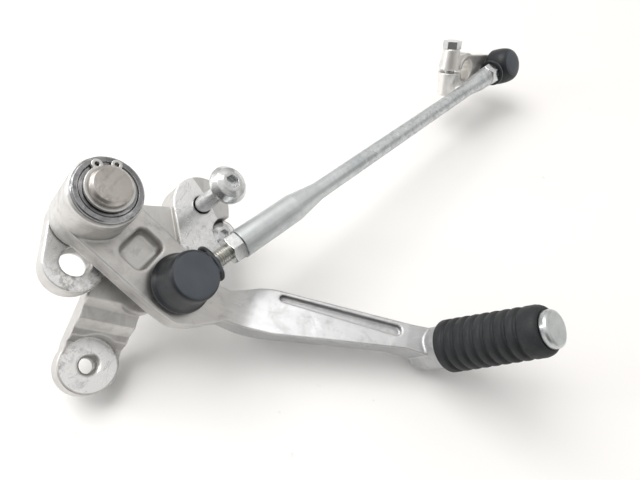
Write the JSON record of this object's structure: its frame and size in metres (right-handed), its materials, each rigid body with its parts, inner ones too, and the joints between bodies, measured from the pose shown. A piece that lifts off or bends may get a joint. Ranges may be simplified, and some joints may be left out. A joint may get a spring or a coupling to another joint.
{
  "type": "gear shift lever",
  "caption": "Motorcycle gear shift lever on a cast pivot bracket, joined by a ball-jointed tie rod to a clamping shift arm.",
  "frame": {"origin": "on the lever's pivot axis, in the plane of the bracket's flat back", "axes": "+Z along the pivot axis away from the engine side, +X from the pivot towards the toe peg at rest"},
  "size_m": [0.161, 0.2336, 0.1365],
  "materials": {
    "cast_aluminium": "cast, fine grain, satin",
    "lever_alloy": "polished and brushed",
    "shaft_steel": "turned",
    "washer_steel": "worn polish",
    "spring_steel": "phosphated, worn bright",
    "zinc_steel": "zinc plated",
    "rod_steel": "zinc plated, dull and mottled",
    "peg_steel": "zinc plated",
    "bush_bronze": "turned",
    "seal_rubber": "matte",
    "peg_rubber": "moulded, matte",
    "boot_rubber": "moulded, satin",
    "liner_plastic": "moulded"
  },
  "bodies": {
    "bracket": {"bracket_casting": "cast_aluminium", "pivot_shaft": "shaft_steel", "lower_thrust_washer": "washer_steel", "thrust_washer": "washer_steel", "circlip": "spring_steel", "side_bolt": "zinc_steel"},
    "mount_bolt": {"bracket_bolt": "zinc_steel"},
    "lever": {"gear_lever": "lever_alloy", "lower_bush": "bush_bronze", "upper_bush": "bush_bronze", "lower_dust_seal": "seal_rubber", "upper_dust_seal": "seal_rubber", "toe_peg": "peg_steel", "toe_rubber": "peg_rubber", "near_ball_stud": "zinc_steel", "near_stud_nut": "zinc_steel"},
    "near_seat": {"near_ball_seat": "liner_plastic"},
    "tie_rod": {"tie_rod": "rod_steel", "near_socket": "zinc_steel", "near_socket_plug": "zinc_steel", "near_lock_nut": "zinc_steel", "near_boot": "boot_rubber", "far_socket": "zinc_steel", "far_socket_plug": "zinc_steel", "far_lock_nut": "zinc_steel", "far_boot": "boot_rubber"},
    "far_seat": {"far_ball_seat": "liner_plastic"},
    "shift_arm": {"shift_arm": "cast_aluminium", "far_ball_stud": "zinc_steel", "far_stud_nut": "zinc_steel", "pinch_bolt": "zinc_steel"}
  },
  "joints": [
    {"name": "lever_pivot", "type": "hinge", "parent": "bracket", "child": "lever", "pos_m": [0, 0, 0], "axis": [0, 0, 1], "range_deg": [-12, 11]},
    {"name": "near_swivel", "type": "hinge", "parent": "lever", "child": "near_seat", "pos_m": [0.0379, -0.011, 0.0305], "axis": [0, 0, 1], "range_deg": [-35, 14]},
    {"name": "near_tilt", "type": "hinge", "parent": "near_seat", "child": "tie_rod", "pos_m": [0.0379, -0.011, 0.0305], "axis": [-0.8733, 0.4873, 0], "range_deg": [-9, 11]},
    {"name": "far_tilt", "type": "hinge", "parent": "tie_rod", "child": "far_seat", "pos_m": [0.13925, 0.17065, 0.07297], "axis": [-0.7477, 0.276, 0.6039], "range_deg": [-12, 3]},
    {"name": "far_swivel", "type": "hinge", "parent": "far_seat", "child": "shift_arm", "pos_m": [0.13925, 0.17065, 0.07297], "axis": [0.4814, -0.4011, 0.7793], "range_deg": [-35, 35]},
    {"name": "mount_bolt_slide", "type": "slide", "parent": "bracket", "child": "mount_bolt", "axis": [0, 0, -1], "range_m": [0, 0.0226]}
  ]
}
